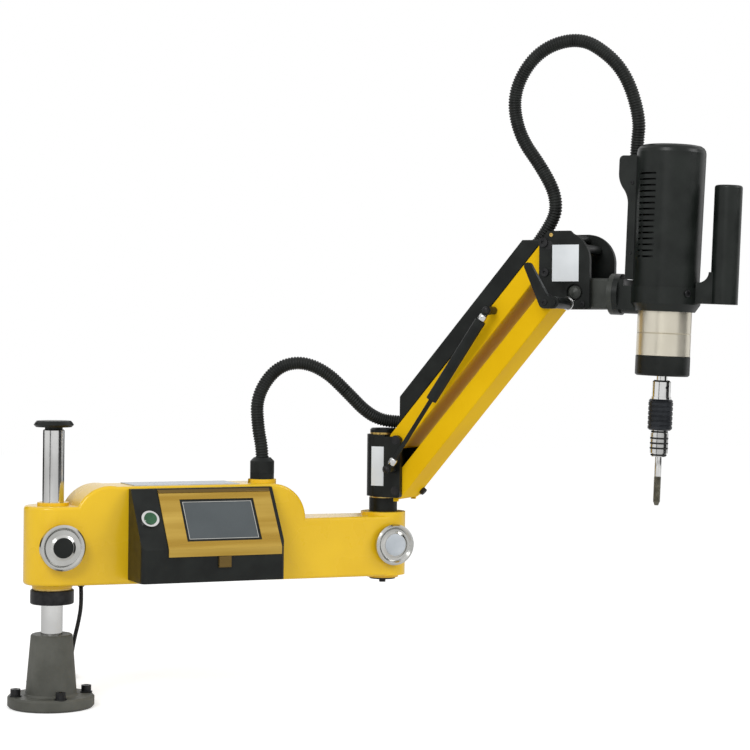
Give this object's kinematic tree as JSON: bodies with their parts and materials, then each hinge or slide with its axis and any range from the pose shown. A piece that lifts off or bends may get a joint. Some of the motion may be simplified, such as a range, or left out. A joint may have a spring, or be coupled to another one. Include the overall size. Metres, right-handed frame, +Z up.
{
  "type": "arm tapping machine",
  "caption": "Column-mounted arm tapping machine with a console arm, a parallel lifting arm and a tilting motor head with chuck and tap.",
  "frame": {"origin": "centre of the base flange's underside", "axes": "+X along the main arm at rest, +Y away from the console, +Z up along the column"},
  "size_m": [0.8635, 0.6391, 0.8927],
  "materials": {
    "yellow_paint": "gloss yellow powder coat",
    "black_paint": "semi-matt powder coat",
    "base_black": "painted cast iron",
    "dark_steel": "blackened",
    "steel": "ground",
    "chrome": "polished",
    "brass": "turned",
    "gold_panel": "brushed, anodised",
    "silver_ring": "turned, anodised",
    "pale_plate": "satin",
    "screen_grey": "glossy",
    "green_cap": "glossy",
    "black_plastic": "fine grain",
    "board_green": "plain",
    "hose_black": "ribbed nylon",
    "cord_black": "smooth",
    "rubber_black": "plain"
  },
  "bodies": {
    "base": {"base_flange": "base_black", "base_bolts": "dark_steel", "column": "chrome", "column_cap": "black_plastic", "mains_cord_coil": "cord_black", "mains_plug": "rubber_black"},
    "collar": {"height_collar": "black_paint", "thrust_washer": "brass"},
    "main_arm": {"arm_casting": "yellow_paint", "arm_bushes": "brass", "arm_top_plate": "pale_plate", "control_housing": "black_paint", "control_bezel": "gold_panel", "touch_screen": "screen_grey", "button_ring": "chrome", "control_board": "board_green", "hose_gland": "black_plastic", "cord_grommet": "rubber_black", "arm_hose": "hose_black", "mains_cord": "cord_black"},
    "column_knob": {"column_knob": "chrome"},
    "post_knob": {"post_knob": "chrome"},
    "power_button": {"power_button": "green_cap"},
    "panel_latch": {"panel_latch": "gold_panel"},
    "post": {"post_shaft": "steel", "post_retaining_screw": "dark_steel", "knuckle_block": "black_paint", "knuckle_washers": "brass", "knuckle_cap": "black_paint", "knuckle_cheeks": "black_paint", "knuckle_pins": "dark_steel", "lower_ball_stud": "dark_steel"},
    "upper_link": {"upper_link": "yellow_paint", "cable_cover": "black_paint", "upper_ball_stud": "dark_steel", "head_hose": "hose_black"},
    "lower_link": {"lower_link": "yellow_paint", "stop_bumper": "rubber_black"},
    "gas_cylinder": {"gas_spring_cylinder": "black_paint"},
    "gas_rod": {"gas_spring_rod": "dark_steel"},
    "head_bracket": {"head_front_plate": "black_paint", "head_rear_plate": "black_paint", "bracket_bars": "dark_steel", "head_pins": "dark_steel", "bracket_screws": "dark_steel"},
    "clamp_lever": {"clamp_lever": "black_plastic"},
    "tilt_block": {"tilt_block": "black_paint"},
    "head": {"motor_bracket": "black_paint", "motor_housing": "black_plastic", "servo_motor": "dark_steel", "side_cover": "black_plastic", "handle": "black_plastic", "gearbox": "silver_ring", "nose_ring": "black_paint"},
    "spindle": {"spindle": "steel", "chuck_body": "chrome", "collet": "steel", "tap": "steel"},
    "chuck_sleeve": {"chuck_sleeve": "dark_steel"}
  },
  "joints": [
    {"name": "collar_slide", "type": "slide", "parent": "base", "child": "collar", "axis": [0, 0, 1], "range_m": [-0.036, 0.09]},
    {"name": "arm_swing", "type": "hinge", "parent": "collar", "child": "main_arm", "pos_m": [0, 0, 0.21], "axis": [0, 0, 1], "range_deg": [-120, 120], "deforming": ["mains_cord"]},
    {"name": "column_knob_turn", "type": "hinge", "parent": "main_arm", "child": "column_knob", "pos_m": [0, -0.045, 0.21], "axis": [0, -1, 0], "range_deg": [0, 360]},
    {"name": "post_knob_turn", "type": "hinge", "parent": "main_arm", "child": "post_knob", "pos_m": [0.47, -0.04, 0.1995], "axis": [0, -1, 0], "range_deg": [0, 360]},
    {"name": "power_press", "type": "slide", "parent": "main_arm", "child": "power_button", "axis": [0, 0.8218, -0.5698], "range_m": [0, 0.0025], "stiffness_N_per_m": 600, "springref_m": -0.003},
    {"name": "latch_slide", "type": "slide", "parent": "main_arm", "child": "panel_latch", "axis": [0, 0, -1], "range_m": [0, 0.003], "stiffness_N_per_m": 600, "springref_m": -0.004},
    {"name": "post_swing", "type": "hinge", "parent": "main_arm", "child": "post", "pos_m": [0.47, 0, 0.2], "axis": [0, 0, 1], "range_deg": [-70, 165], "deforming": ["arm_hose"]},
    {"name": "link_lift", "type": "hinge", "parent": "post", "child": "upper_link", "pos_m": [0.49198, -0.02528, 0.344], "axis": [-0.7547, -0.6561, 0], "range_deg": [-50, 15]},
    {"name": "lower_link_turn", "type": "hinge", "parent": "post", "child": "lower_link", "pos_m": [0.49198, -0.02528, 0.274], "axis": [-0.7547, -0.6561, 0], "range_deg": [-50.5, 15.5]},
    {"name": "gas_spring_turn", "type": "hinge", "parent": "upper_link", "child": "gas_cylinder", "pos_m": [0.54577, -0.16337, 0.5215], "axis": [-0.7547, -0.6561, 0], "range_deg": [-1.49, 4.96]},
    {"name": "gas_spring_stroke", "type": "slide", "parent": "gas_cylinder", "child": "gas_rod", "axis": [-0.361, 0.4153, -0.835], "range_m": [-0.0265, 0.008]},
    {"name": "bracket_level", "type": "hinge", "parent": "upper_link", "child": "head_bracket", "pos_m": [0.63644, -0.19147, 0.60829], "axis": [-0.7547, -0.6561, 0], "range_deg": [-15.5, 50.5], "deforming": ["head_hose"]},
    {"name": "clamp_lever_turn", "type": "hinge", "parent": "head_bracket", "child": "clamp_lever", "pos_m": [0.62751, -0.23607, 0.5308], "axis": [-0.7547, -0.6561, 0], "range_deg": [0, 60]},
    {"name": "head_tilt", "type": "hinge", "parent": "head_bracket", "child": "tilt_block", "pos_m": [0.66058, -0.21924, 0.5455], "axis": [-0.7547, -0.6561, 0], "range_deg": [-40, 30]},
    {"name": "head_roll", "type": "hinge", "parent": "tilt_block", "child": "head", "pos_m": [0.66058, -0.21924, 0.5455], "axis": [0.6557, -0.7543, -0.0349], "range_deg": [-90, 90]},
    {"name": "spindle_spin", "type": "hinge", "parent": "head", "child": "spindle", "pos_m": [0.73259, -0.30207, 0.4361], "axis": [0.0229, -0.0263, 0.9994], "continuous": true},
    {"name": "sleeve_slide", "type": "slide", "parent": "spindle", "child": "chuck_sleeve", "axis": [0.0229, -0.0263, 0.9994], "range_m": [0, 0.003], "stiffness_N_per_m": 2000, "springref_m": -0.003}
  ],
  "couplings": [
    {"joint": "lower_link_turn", "follows": "link_lift", "ratio": 1},
    {"joint": "bracket_level", "follows": "link_lift", "ratio": -1},
    {"joint": "gas_spring_turn", "follows": "link_lift", "ratio": -0.0982},
    {"joint": "gas_spring_stroke", "follows": "link_lift", "m_per_rad": 0.0298}
  ]
}
